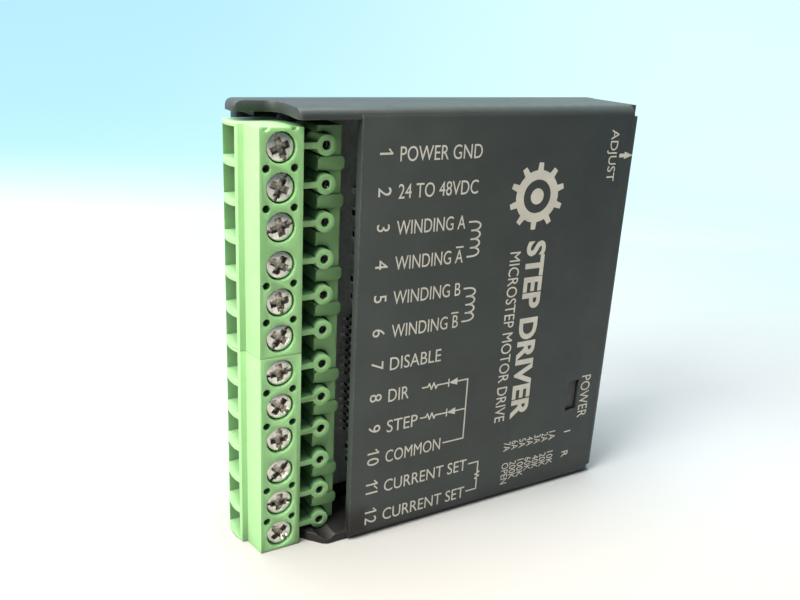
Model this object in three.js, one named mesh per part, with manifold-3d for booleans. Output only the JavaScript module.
// Stepper driver module: a bent sheet cover over a circuit board and a heat-sink base,
// with two pluggable six-pole screw terminals on a pin header along its left edge.
// Millimetres, +Z up. The module stands on its long edge: the label face looks towards -Y,
// the mounting face towards +Y. The origin is the bottom centre of its bounding box.
import * as THREE from 'three';
import { mergeVertices } from 'three/addons/utils/BufferGeometryUtils.js';
import Module from 'manifold-3d';

const wasm = await Module();
wasm.setup();

// ---- driving dimensions, in the case's own corner frame -----------------------------
// x runs from the case's left edge, y back from the label face, z up from the lower edge.
const CASE_HEIGHT = 63.5;
const CASE_RIGHT = 61.2;
const CASE_DEPTH = 21;
const SHEET = 1.4;              // cover sheet thickness
const BEND_RADIUS = 1.5;        // outside radius of the cover's bends
const COVER_DEPTH = 13.2;       // how far the cover's walls reach back
const LABEL_LEFT = 13;          // left edge of the label plate
const EAR = 0.4;                // how far the upper and lower walls pass the right wall
const LIP_FRONT = 9.3;          // the upper wall steps back to this lip beside the terminals
const LIP_LEFT = -0.8;          // the lip's rolled end
const LIP_ROLL = 1.3;

const GAP = 0.15;               // clearance between nested pieces
const BASE_LEFT = 2.9;
const BASE_WALL = 0.9;          // upper and lower walls of the base
const BASE_SIDE = 1.8;          // its right wall, which holds the cover's screws
const BASE_FLOOR = 18.4;        // front face of the base plate
const BASE_Z = [SHEET + GAP, CASE_HEIGHT - SHEET - GAP];
const BASE_RIGHT = CASE_RIGHT - SHEET - GAP;

const BOARD = { left: 6.6, right: 57.4, front: 11.6, back: 13.2 };
const BOARD_Z = [BASE_Z[0] + BASE_WALL + GAP, BASE_Z[1] - BASE_WALL - GAP];
const BASE_RIM = BOARD.back + GAP;

const POLES = 12;
const PLUG_POLES = 6;
const PITCH = 5.08;
const POLE_Z = (pole) => PITCH * (POLES - pole + 0.5);   // pole 1 is the uppermost
const SCREW_X = 3.2;
const RING_X = 9.8;
const TERMINAL_FACE = 2.86;     // front of the screw column
const RING_FACE = 3.75;
const PIN_BACK = 14;            // header pins end behind the board
const BAND_FACE = 5.2;
const PLUG_BACK = 13.1;
const COLUMN_RIGHT = 6.2;
const TUBE = { radius: 1.375, back: 9.3 };   // sockets that slide over the header pins

const HEADER = { left: 6.9, wall: 0.7, wallFace: 7.1, floor: 9.6, body: 9.1, right: 12.6 };
const BAR = { x: [9.1, 12.95], half: 0.9, proud: 0.3 };   // raised between most of the rings
const MARKER = { x: [1.2, 5], radius: 0.56 };
const CHAMBER = { right: 5.4, front: 7.4, back: 12.3, half: 2.09 };
const CAGE = { left: 0.9, right: 5.1, half: 1.8, tall: 3.3, wall: 0.7, hole: 1.35 };
const CAGE_REST = CHAMBER.back - 0.05 - CAGE.tall;
const SCREW = { head: 1.9, shank: 1.2, top: 3.2, shoulder: 5.3, tip: 9.55 };
const WELL = { radius: 2.05, floor: 5.6 };      // each screw head sits in one

const WINDOW = { left: 53, right: 55.4, low: 13.4, high: 18.8 };
const TRIMMER = { y: 8.3, z: 56.3, rotor: 1.5, hole: 1.9 };
const COVER_SCREWS_Z = [20, 44];
const COVER_SCREW_Y = 9;
const BOARD_SCREWS = [[22, 5.6], [22, 57.9], [50.5, 5.6], [47.5, 57.9]];
const MOUNT_HOLES_X = [5.6, 56.4];
const MOUNT_HOLES_Z = [CASE_HEIGHT / 2 - 22.225, CASE_HEIGHT / 2 + 22.225];

// ---- solids -------------------------------------------------------------------------
function solid(geometry) {
  const bare = geometry.index ? geometry.toNonIndexed() : geometry.clone();
  for (const name of Object.keys(bare.attributes)) {
    if (name !== 'position') bare.deleteAttribute(name);
  }
  const merged = mergeVertices(bare, 1e-5);
  return new wasm.Manifold(new wasm.Mesh({
    numProp: 3,
    vertProperties: new Float32Array(merged.attributes.position.array),
    triVerts: new Uint32Array(merged.index.array),
  }));
}

function box(x, y, z) {
  const geometry = new THREE.BoxGeometry(x[1] - x[0], y[1] - y[0], z[1] - z[0]);
  geometry.translate((x[0] + x[1]) / 2, (y[0] + y[1]) / 2, (z[0] + z[1]) / 2);
  return solid(geometry);
}

// A round rod along 'x', 'y' or 'z'; centre gives its other two coordinates in order.
function rod(axis, centre, radius, from, to, sides = 24) {
  const geometry = new THREE.CylinderGeometry(radius, radius, to - from, sides);
  const middle = (from + to) / 2;
  if (axis === 'x') geometry.rotateZ(-Math.PI / 2).translate(middle, ...centre);
  if (axis === 'y') geometry.translate(centre[0], middle, centre[1]);
  if (axis === 'z') geometry.rotateX(Math.PI / 2).translate(...centre, middle);
  return solid(geometry);
}

// An outline in the XY plane, pulled up along Z.
function prismZ(shape, z, curveSegments = 6) {
  const geometry = new THREE.ExtrudeGeometry(shape, {
    depth: z[1] - z[0], bevelEnabled: false, curveSegments,
  });
  return solid(geometry.translate(0, 0, z[0]));
}

// An outline in the YZ plane (its x is Y, its y is Z), pulled along X.
function prismX(shape, x, curveSegments = 6) {
  const geometry = new THREE.ExtrudeGeometry(shape, {
    depth: x[1] - x[0], bevelEnabled: false, curveSegments,
  });
  geometry.applyMatrix4(new THREE.Matrix4().makeBasis(
    new THREE.Vector3(0, 1, 0), new THREE.Vector3(0, 0, 1), new THREE.Vector3(1, 0, 0)));
  return solid(geometry.translate(x[0], 0, 0));
}

// An outline in the XZ plane (its y is Z), pulled along Y.
function prismY(shape, y, curveSegments = 6) {
  const geometry = new THREE.ExtrudeGeometry(shape, {
    depth: y[1] - y[0], bevelEnabled: false, curveSegments,
  });
  return solid(geometry.rotateX(Math.PI / 2).translate(0, y[1], 0));
}

const polygon = (points) => new THREE.Shape(points.map(([u, v]) => new THREE.Vector2(u, v)));

function roundedRect(u, v, radius) {
  const shape = new THREE.Shape();
  shape.moveTo(u[0] + radius, v[0]);
  shape.lineTo(u[1] - radius, v[0]);
  shape.absarc(u[1] - radius, v[0] + radius, radius, -Math.PI / 2, 0, false);
  shape.lineTo(u[1], v[1] - radius);
  shape.absarc(u[1] - radius, v[1] - radius, radius, 0, Math.PI / 2, false);
  shape.lineTo(u[0] + radius, v[1]);
  shape.absarc(u[0] + radius, v[1] - radius, radius, Math.PI / 2, Math.PI, false);
  shape.lineTo(u[0], v[0] + radius);
  shape.absarc(u[0] + radius, v[0] + radius, radius, Math.PI, 1.5 * Math.PI, false);
  return shape;
}

const join = (pieces) => pieces.reduce((whole, piece) => whole.add(piece));
const cut = (body, tools) => tools.reduce((rest, tool) => rest.subtract(tool), body);

function toGeometry(body) {
  const mesh = body.getMesh();
  const geometry = new THREE.BufferGeometry();
  geometry.setAttribute('position', new THREE.BufferAttribute(mesh.vertProperties, 3));
  geometry.setIndex(new THREE.BufferAttribute(mesh.triVerts, 1));
  geometry.computeVertexNormals();
  return geometry;
}

// ---- materials ----------------------------------------------------------------------
const finish = (color, roughness, metalness) => () =>
  new THREE.MeshStandardMaterial({ color, roughness, metalness });
const blackPaint = finish(0x33383a, 0.65, 0.2);
const darkMetal = finish(0x26292b, 0.5, 0.8);
const greenPlastic = finish(0x6fbf5a, 0.45, 0);
const platedSteel = finish(0xc9c6bb, 0.3, 1);
const brightTin = finish(0xd8d6ce, 0.25, 1);
const boardResin = finish(0x16231d, 0.5, 0);
const chipResin = finish(0x151515, 0.6, 0);
const trimmerBlue = finish(0x2b58a8, 0.45, 0);
const trimmerWhite = finish(0xe8e6dc, 0.5, 0);
const lampLens = finish(0x2b2a28, 0.3, 0);
const padGrey = finish(0x8f9a97, 0.8, 0);
const canSleeve = finish(0x1d2440, 0.4, 0);

const driver = new THREE.Group();
const plugs = { upper: new THREE.Group(), lower: new THREE.Group() };
driver.add(plugs.upper, plugs.lower);

function part(name, body, material, group = driver) {
  const mesh = new THREE.Mesh(toGeometry(body), material());
  mesh.name = name;
  group.add(mesh);
}

// ---- cover --------------------------------------------------------------------------
// A U-section bent along X (label plate, upper and lower walls).
function coverSection() {
  const shape = new THREE.Shape();
  const r = BEND_RADIUS;
  const h = CASE_HEIGHT;
  shape.moveTo(COVER_DEPTH, 0);
  shape.lineTo(COVER_DEPTH, SHEET);
  shape.lineTo(SHEET, SHEET);
  shape.lineTo(SHEET, h - SHEET);
  shape.lineTo(COVER_DEPTH, h - SHEET);
  shape.lineTo(COVER_DEPTH, h);
  shape.lineTo(r, h);
  shape.absarc(r, h - r, r, Math.PI / 2, Math.PI, false);
  shape.lineTo(0, r);
  shape.absarc(r, r, r, Math.PI, 1.5 * Math.PI, false);
  return shape;
}

// What is taken out of the upper wall at the left, seen along Z: the step back to the
// narrow lip beside the terminals, and the lip's rounded end.
function upperStep() {
  const shape = new THREE.Shape();
  shape.moveTo(LIP_LEFT - 1, -1);
  shape.lineTo(LABEL_LEFT, -1);
  shape.lineTo(LABEL_LEFT, 0.2);
  shape.lineTo(5.2, 0.2);
  shape.bezierCurveTo(4.7, 0.2, 4.5, 0.5, 4.5, 1);
  shape.lineTo(4.92, 5.2);
  shape.bezierCurveTo(5.05, 7.4, 4.9, LIP_FRONT - 0.1, 3.2, LIP_FRONT);
  shape.lineTo(LIP_LEFT + 0.6, LIP_FRONT);
  shape.absarc(LIP_LEFT + 0.6, LIP_FRONT + 0.6, 0.6, 1.5 * Math.PI, Math.PI, true);
  shape.lineTo(LIP_LEFT, COVER_DEPTH - 1.1);
  shape.absarc(LIP_LEFT + 1.1, COVER_DEPTH - 1.1, 1.1, Math.PI, Math.PI / 2, true);
  shape.lineTo(LIP_LEFT + 1.1, COVER_DEPTH + 1);
  shape.lineTo(LIP_LEFT - 1, COVER_DEPTH + 1);
  return shape;
}

// The lower wall is cut back further, because the terminals reach down past it.
const lowerStep = () => polygon([
  [LIP_LEFT - 1, -1], [LABEL_LEFT, -1], [LABEL_LEFT, 0.8], [9.8, 0.82], [9.16, 1.28], [8.42, 2.18],
  [7.63, 2.96], [6.94, 3.99], [6.5, 5.2], [6.5, COVER_DEPTH + 1], [LIP_LEFT - 1, COVER_DEPTH + 1],
]);

// The right wall hangs from the label plate by its own bend.
function rightWallSection() {
  const shape = new THREE.Shape();
  const r = BEND_RADIUS;
  const x = CASE_RIGHT;
  shape.moveTo(x - 4, 0);
  shape.lineTo(x - r, 0);
  shape.absarc(x - r, r, r, -Math.PI / 2, 0, false);
  shape.lineTo(x, COVER_DEPTH);
  shape.lineTo(x - SHEET, COVER_DEPTH);
  shape.lineTo(x - SHEET, SHEET);
  shape.lineTo(x - 4, SHEET);
  return shape;
}

function frontCover() {
  const h = CASE_HEIGHT;
  const middle = h / 2;
  const x = CASE_RIGHT;
  const flat = prismX(coverSection(), [LIP_LEFT, x - BEND_RADIUS]);
  const labelGap = box(
    [LIP_LEFT - 1, LABEL_LEFT], [-1, SHEET + 0.1], [SHEET + 0.02, h - SHEET - 0.02]);
  const rollZ = h - LIP_ROLL;
  const rolledEnd = cut(
    box([LIP_LEFT - 1, LIP_LEFT + LIP_ROLL], [LIP_FRONT - 1, COVER_DEPTH + 1], [rollZ, h + 1]),
    [rod('y', [LIP_LEFT + LIP_ROLL, rollZ], LIP_ROLL, LIP_FRONT - 2, COVER_DEPTH + 2)]);
  const wallZ = [[h - SHEET, h], [0, SHEET]];
  const flaps = wallZ.flatMap((z) => [
    box([x - BEND_RADIUS - 0.5, x], [BEND_RADIUS, COVER_DEPTH], z),
    box([x - 2, x + EAR], [COVER_DEPTH - 1.7, COVER_DEPTH], z),
  ]);
  const rightWall = prismZ(rightWallSection(), [SHEET + 0.2, h - SHEET - 0.2]);
  return cut(join([cut(flat, [labelGap]), ...flaps, rightWall]), [
    prismZ(upperStep(), [middle, h + 1]),
    rolledEnd,
    prismZ(lowerStep(), [-1, middle]),
    rod('y', [RING_X, POLE_Z(POLES)], TUBE.radius + 0.3, -1, TUBE.back + 0.4, 24),
    box([WINDOW.left, WINDOW.right], [-1, SHEET + 1], [WINDOW.low, WINDOW.high]),
    rod('x', [TRIMMER.y, TRIMMER.z], TRIMMER.hole, x - SHEET - 1, x + 1),
    ...COVER_SCREWS_Z.map((z) => rod('x', [COVER_SCREW_Y, z], 1.3, x - SHEET - 1, x + 1, 16)),
    ...COVER_SCREWS_Z.map((z) => rod('x', [COVER_SCREW_Y, z], 2.4, x - 0.6, x + 1, 20)),
  ]);
}
part('front_cover', frontCover(), blackPaint);

function coverScrew(z) {
  return cut(join([
    rod('x', [COVER_SCREW_Y, z], 2.2, CASE_RIGHT - 0.55, CASE_RIGHT + 0.1, 20),
    rod('x', [COVER_SCREW_Y, z], 1.1, CASE_RIGHT - 4, CASE_RIGHT - 0.5, 12),
  ]), [
    box([CASE_RIGHT - 0.35, CASE_RIGHT + 1], [COVER_SCREW_Y - 1.5, COVER_SCREW_Y + 1.5],
      [z - 0.3, z + 0.3]),
    box([CASE_RIGHT - 0.35, CASE_RIGHT + 1], [COVER_SCREW_Y - 0.3, COVER_SCREW_Y + 0.3],
      [z - 1.5, z + 1.5]),
  ]);
}
COVER_SCREWS_Z.forEach((z, i) => part(`cover_screw_${i + 1}`, coverScrew(z), platedSteel));

// ---- heat-sink base -------------------------------------------------------------------
function heatSinkBase() {
  const plate = prismY(
    roundedRect([BASE_LEFT, BASE_RIGHT], [BASE_Z[0], BASE_Z[1]], 1.2), [BASE_FLOOR, CASE_DEPTH]);
  const [low, high] = BASE_Z;
  const behind = [BASE_RIM, BASE_FLOOR + 0.5];
  const beside = [LIP_FRONT + 0.4, BASE_FLOOR + 0.5];
  const walls = [
    box([COLUMN_RIGHT + 0.6, BASE_RIGHT - 0.1], beside, [high - BASE_WALL, high]),
    box([BASE_LEFT + 0.6, COLUMN_RIGHT + 1], behind, [high - BASE_WALL, high]),
    box([14, BASE_RIGHT - 0.1], beside, [low, low + BASE_WALL]),
    box([8, 15], [PIN_BACK + 0.4, behind[1]], [low, low + BASE_WALL]),
    box([BASE_RIGHT - BASE_SIDE, BASE_RIGHT], behind, [low + 0.1, high - 0.1]),
  ];
  const posts = BOARD_SCREWS.map(([x, z]) => rod('y', [x, z], 2.6, ...behind, 16));
  const tabs = COVER_SCREWS_Z.map((z) =>
    box([BASE_RIGHT - BASE_SIDE + 0.1, BASE_RIGHT - 0.1], [COVER_SCREW_Y - 3, BASE_FLOOR],
      [z - 3.2, z + 3.2]));
  return cut(join([plate, ...walls, ...posts, ...tabs]), [
    ...BOARD_SCREWS.map(([x, z]) => rod('y', [x, z], 1.25, BASE_RIM - 1, BASE_FLOOR + 0.4, 12)),
    ...COVER_SCREWS_Z.map((z) =>
      rod('x', [COVER_SCREW_Y, z], 1.25, BASE_RIGHT - 3, BASE_RIGHT + 1, 12)),
    ...MOUNT_HOLES_X.flatMap((x) => MOUNT_HOLES_Z.map((z) =>
      rod('y', [x, z], 1.4, BASE_FLOOR - 1, CASE_DEPTH + 1, 16))),
  ]);
}
part('heat_sink_base', heatSinkBase(), darkMetal);

// ---- circuit board ----------------------------------------------------------------------
function circuitBoard() {
  const y = [BOARD.front, BOARD.back];
  const plate = box([BOARD.left, BOARD.right], y, BOARD_Z)
    .add(box([BOARD.left, HEADER.right + 0.4], y, [BASE_Z[0], BOARD_Z[0] + 1]));
  const pinHoles = Array.from({ length: POLES }, (_, i) =>
    rod('y', [RING_X, POLE_Z(i + 1)], 0.75, BOARD.front - 1, BOARD.back + 1, 6));
  const screwHoles = BOARD_SCREWS.map(([x, z]) =>
    rod('y', [x, z], 1.5, BOARD.front - 1, BOARD.back + 1, 12));
  return cut(plate, [...pinHoles, ...screwHoles]);
}
part('circuit_board', circuitBoard(), boardResin);

function boardScrew([x, z]) {
  const top = BOARD.front - 1.6;
  return cut(join([
    rod('y', [x, z], 2.1, top, BOARD.front - 0.05, 20),
    rod('y', [x, z], 1.05, BOARD.front - 0.5, BASE_FLOOR - 0.8, 12),
  ]), [
    box([x - 1.4, x + 1.4], [top - 1, top + 0.6], [z - 0.3, z + 0.3]),
    box([x - 0.3, x + 0.3], [top - 1, top + 0.6], [z - 1.4, z + 1.4]),
  ]);
}
BOARD_SCREWS.forEach((place, i) => part(`board_screw_${i + 1}`, boardScrew(place), platedSteel));

// ---- pin header on the board --------------------------------------------------------------
// A trough behind the plugs' arms, and beside it a body bored for the plugs' sockets, with
// rounded bars between most of the bores.
const gapZ = (pole) => POLE_Z(pole) - PITCH / 2;          // between this pole and the next
const isBarred = (pole) => pole % 3 !== 0;                // each third gap is left plain

function terminalHeader() {
  const { left, wall, wallFace, floor, body, right } = HEADER;
  const z = [BASE_Z[0] + 0.05, POLES * PITCH - 0.2];
  const back = BOARD.front - 0.05;
  const poles = Array.from({ length: POLES }, (_, i) => i + 1);
  const solids = [
    box([left, left + wall], [wallFace, back], z),
    box([left + 0.1, right - 0.5], [floor, back], z),
    box([body, right], [BAND_FACE, back], z),
    ...poles.slice(0, -1).filter(isBarred).map((pole) => prismY(
      roundedRect(BAR.x, [gapZ(pole) - BAR.half, gapZ(pole) + BAR.half], 0.6),
      [BAND_FACE - BAR.proud, BAND_FACE + 1.5], 3)),
  ];
  return cut(join(solids), [
    ...poles.map((pole) =>
      rod('y', [RING_X, POLE_Z(pole)], TUBE.radius + 0.3, BAND_FACE - 2, floor, 16)),
    ...poles.map((pole) => rod('y', [RING_X, POLE_Z(pole)], 0.72, floor - 1, back + 1, 6)),
  ]);
}
part('terminal_header', terminalHeader(), greenPlastic);

function headerPin(pole) {
  const z = POLE_Z(pole);
  return prismZ(polygon([
    [RING_X - 0.45, 6.2], [RING_X - 0.25, 5.6], [RING_X + 0.25, 5.6], [RING_X + 0.45, 6.2],
    [RING_X + 0.45, PIN_BACK], [RING_X - 0.45, PIN_BACK],
  ]), [z - 0.45, z + 0.45]);
}

// ---- pluggable terminals --------------------------------------------------------------------
// The screw column, seen along Z: a drafted side face, a ridge in front of the wire
// entries, and behind it the bulging edge of the walls between them.
const COLUMN_OUTLINE = polygon([
  [COLUMN_RIGHT, TERMINAL_FACE], [COLUMN_RIGHT, PLUG_BACK], [-0.85, PLUG_BACK],
  [-1.3, 12], [-1.6, 10.8], [-1.7, 9.6], [-1.6, 8.4], [-1.3, 7.5], [-1.15, 6.75],
  [-0.35, 6.55], [0.27, TERMINAL_FACE],
]);

function terminalPlug(firstPole) {
  const lastPole = firstPole + PLUG_POLES - 1;
  const seam = 0.03;
  const z = [gapZ(lastPole) + seam, gapZ(firstPole - 1) - seam];
  const poles = Array.from({ length: PLUG_POLES }, (_, i) => firstPole + i);
  const armBack = 6.8;
  const solids = [
    prismZ(COLUMN_OUTLINE, z),
    ...poles.map((pole) => box([COLUMN_RIGHT - 0.5, RING_X - 1], [RING_FACE, armBack],
      [POLE_Z(pole) - 0.4, POLE_Z(pole) + 0.4])),
    ...poles.map((pole) =>
      rod('y', [RING_X, POLE_Z(pole)], TUBE.radius, RING_FACE, TUBE.back, 20)),
  ];
  const markers = [
    ...poles.slice(0, -1).filter(isBarred).map((pole) => [gapZ(pole), 1.8]),
    ...(firstPole === 1 ? [[z[1] + 0.05, 0.8]] : []),
  ];
  return cut(join(solids), [
    ...poles.map((pole) => box([-3, CHAMBER.right], [CHAMBER.front, CHAMBER.back],
      [POLE_Z(pole) - CHAMBER.half, POLE_Z(pole) + CHAMBER.half])),
    ...poles.map((pole) => rod('y', [SCREW_X, POLE_Z(pole)], WELL.radius, 0, WELL.floor, 20)),
    ...poles.map((pole) => rod('y', [SCREW_X, POLE_Z(pole)], 1.4, 5, 8, 12)),
    ...poles.map((pole) => rod('y', [RING_X, POLE_Z(pole)], 0.64, 0, 6, 12)),
    ...poles.map((pole) => rod('y', [RING_X, POLE_Z(pole)], 1, 5.2, TUBE.back + 1, 12)),
    ...markers.flatMap(([height, depth]) => MARKER.x.map((x) =>
      rod('y', [x, height], MARKER.radius, 0, TERMINAL_FACE + depth, 8))),
  ]);
}

function terminalScrew(pole) {
  const z = POLE_Z(pole);
  const turn = 0.9 + 0.83 * pole;          // each screw was left at its own angle
  const slot = (angle, half, depth) => {
    const bar = new THREE.BoxGeometry(2 * half, 2 * depth, 0.42);
    bar.rotateY(angle).translate(SCREW_X, SCREW.top, z);
    return solid(bar);
  };
  return cut(join([
    rod('y', [SCREW_X, z], SCREW.head, SCREW.top, SCREW.shoulder, 20),
    rod('y', [SCREW_X, z], SCREW.shank, SCREW.shoulder - 0.2, SCREW.tip, 12),
  ]), [slot(turn, 2, 0.55), slot(turn + Math.PI / 2, 1.2, 0.9)]);
}

function clampCage(pole) {
  const z = [POLE_Z(pole) - CAGE.half, POLE_Z(pole) + CAGE.half];
  const y = [CAGE_REST, CAGE_REST + CAGE.tall];
  return cut(box([CAGE.left, CAGE.right], y, z), [
    box([CAGE.left - 1, CAGE.right + 1], [y[0] + CAGE.wall, y[1] - CAGE.wall],
      [z[0] + CAGE.wall, z[1] - CAGE.wall]),
    rod('y', [SCREW_X, POLE_Z(pole)], CAGE.hole, y[0] - 1, y[1] - CAGE.wall - 0.2, 12),
  ]);
}

for (const [side, firstPole] of [['upper', 1], ['lower', 1 + PLUG_POLES]]) {
  part(`${side}_plug_housing`, terminalPlug(firstPole), greenPlastic, plugs[side]);
  for (let pole = firstPole; pole < firstPole + PLUG_POLES; pole += 1) {
    const number = String(pole).padStart(2, '0');
    part(`terminal_screw_${number}`, terminalScrew(pole), platedSteel, plugs[side]);
    part(`clamp_cage_${number}`, clampCage(pole), platedSteel, plugs[side]);
    part(`header_pin_${number}`, headerPin(pole), brightTin);
  }
}

// ---- parts on the board --------------------------------------------------------------------
const CHIP = { left: 17.8, width: 3.9, face: 9.95, back: 11.45 };

// A small-outline chip: body and gull-wing leads down both long sides.
function outlineChip(middle, leads) {
  const leadPitch = 1.27;
  const half = (leads * leadPitch - 0.3) / 2;
  const lead = (x, side, z) => prismZ(polygon([
    [0.2, 10.5], [-0.5, 10.5], [-0.7, 11.35], [-1.3, 11.35],
    [-1.3, 11.55], [-0.55, 11.55], [-0.35, 10.72], [0.2, 10.72],
  ].map(([out, y]) => [x + out * side, y])), [z - 0.21, z + 0.21]);
  const rows = Array.from({ length: leads }, (_, i) => middle + (i - (leads - 1) / 2) * leadPitch);
  const right = CHIP.left + CHIP.width;
  return join([
    box([CHIP.left, right], [CHIP.face, CHIP.back], [middle - half, middle + half]),
    ...rows.map((z) => lead(CHIP.left, 1, z)),
    ...rows.map((z) => lead(right, -1, z)),
  ]);
}
part('step_logic_chip', outlineChip(26.7, 8), chipResin);
part('input_isolator_chip', outlineChip(16.55, 7), chipResin);

// Flat power transistors behind the board, pressed to the base through one thin pad.
const TRANSISTOR_Z = [13.6, 25.5, 37.4, 49.3];
const PAD = { front: BASE_FLOOR - 0.35, back: BASE_FLOOR - 0.05 };

function powerTransistor(z) {
  const back = PAD.front - 0.05;
  const legs = [z - 2.54, z, z + 2.54].map((height) => [height - 0.4, height + 0.4]);
  return join([
    box([34, 43], [back - 4.3, back], [z - 5, z + 5]),
    cut(box([42.5, 49.5], [back - 1.3, back], [z - 5, z + 5]),
      [rod('y', [46.4, z], 1.8, back - 3, back + 1, 12)]),
    ...legs.map((height) => box([29.2, 34.5], [back - 2.5, back - 2], height)),
    ...legs.map((height) => box([29.2, 29.7], [BOARD.back + 0.05, back - 2], height)),
  ]);
}
TRANSISTOR_Z.forEach((z, i) => part(`power_transistor_${i + 1}`, powerTransistor(z), chipResin));
part('insulating_pad', box([33, 49.8], [PAD.front, PAD.back], [8.4, 54.5]), padGrey);

function bulkCapacitor() {
  const profile = [
    [0, 0], [3.6, 0], [4, 0.4], [4, 1.2], [3.75, 1.6], [4, 2], [4, 8.3], [3.7, 8.6], [0, 8.6],
  ].map(([r, h]) => new THREE.Vector2(r, h));
  const can = new THREE.LatheGeometry(profile, 20).rotateX(Math.PI);
  return solid(can.translate(38, BOARD.front - 0.1, 46));
}
part('bulk_capacitor', bulkCapacitor(), canSleeve);

// Current-adjust trimmer: its rotor is turned through a hole in the cover's right wall.
function trimmerBody() {
  const { y, z, rotor } = TRIMMER;
  return cut(box([52.2, 57], [y - 3.2, BOARD.front - 0.1], [z - 3.2, z + 3.2]),
    [rod('x', [y, z], rotor + 0.2, 55.4, 58)]);
}

function trimmerRotor() {
  const { y, z, rotor } = TRIMMER;
  const face = CASE_RIGHT - 0.5;
  return cut(rod('x', [y, z], rotor, 55.6, face),
    [box([face - 0.8, face + 1], [y - 2, y + 2], [z - 0.25, z + 0.25])]);
}
part('trimmer_body', trimmerBody(), trimmerBlue);
part('trimmer_rotor', trimmerRotor(), trimmerWhite);

function statusLamp() {
  const z = (WINDOW.low + WINDOW.high) / 2;
  const x = (WINDOW.left + WINDOW.right) / 2;
  return join([
    box([WINDOW.left + 0.15, WINDOW.right - 0.15], [0.5, 8.2],
      [WINDOW.low + 0.15, WINDOW.high - 0.15]),
    ...[-1.27, 1.27].map((step) =>
      box([x - 0.25, x + 0.25], [8, BOARD.front - 0.1], [z + step - 0.25, z + step + 0.25])),
  ]);
}
part('status_lamp', statusLamp(), lampLens);

// ---- origin: bottom centre of the bounding box --------------------------------------------
const span = new THREE.Box3().setFromObject(driver);
driver.position.set(-(span.min.x + span.max.x) / 2, -(span.min.y + span.max.y) / 2, -span.min.z);
driver.updateMatrixWorld(true);

export default driver;
